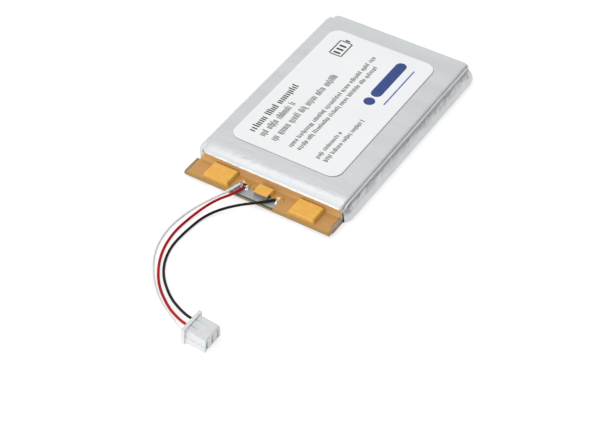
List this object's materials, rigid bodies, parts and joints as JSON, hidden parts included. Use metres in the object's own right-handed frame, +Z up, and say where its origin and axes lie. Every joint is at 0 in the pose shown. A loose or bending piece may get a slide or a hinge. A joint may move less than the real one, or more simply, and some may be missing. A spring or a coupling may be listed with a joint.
{
  "type": "pouch battery cell",
  "caption": "Flat lithium polymer pouch cell with folded side seals, a taped protection board across one end and a short three-wire lead ending in a crimp plug.",
  "frame": {"origin": "on the table plane, under the middle of the cell with its board, without the lead", "axes": "+Z up out of the labelled face, +Y along the cell towards its folded end, away from the protection board and the lead; +X across"},
  "size_m": [0.0528, 0.138, 0.0058],
  "materials": {
    "laminate": "satin nylon-faced aluminium laminate",
    "label_film": "white printed label film, slightly glossy",
    "cathode_coating": "black oxide coating on aluminium foil",
    "anode_coating": "dark grey graphite coating on copper foil",
    "separator_film": "white microporous film",
    "stack_tape": "green polyester tape",
    "aluminium_foil": "bare foil",
    "copper_foil": "bare copper foil",
    "nickel": "bare nickel strip",
    "tab_film": "milky adhesive film",
    "foam": "white foam tape",
    "board": "epoxy glass board, grey top, green edge",
    "chip_black": "moulded epoxy",
    "chip_ceramic": "sintered ceramic with tinned ends",
    "solder": "bright solder",
    "tinned_wire": "tinned copper",
    "amber_tape": "amber polyimide film",
    "wire_white": "PVC insulation",
    "wire_red": "PVC insulation",
    "wire_black": "PVC insulation",
    "plug_nylon": "natural white moulded nylon"
  },
  "bodies": {
    "root": {"pouch_cup": "laminate", "pouch_cover": "laminate", "label": "label_film", "cathode_plates": "cathode_coating", "anode_plates": "anode_coating", "separator": "separator_film", "stack_tape": "stack_tape", "cathode_foil_bundle": "aluminium_foil", "anode_foil_bundle": "copper_foil", "cathode_tab": "aluminium_foil", "anode_tab": "nickel", "tab_films": "tab_film", "terrace_pad": "foam", "circuit_board": "board", "weld_plates": "nickel", "mosfet": "chip_black", "protection_ic": "chip_black", "chip_resistors": "chip_black", "chip_capacitors": "chip_ceramic", "thermistor": "chip_ceramic", "solder_joints": "solder", "board_wire_ends": "tinned_wire", "plug_wire_ends": "tinned_wire", "polyimide_tape": "amber_tape", "lead_white": "wire_white", "lead_red": "wire_red", "lead_black": "wire_black", "plug_housing": "plug_nylon", "crimp_terminals": "tinned_wire"}
  },
  "joints": []
}
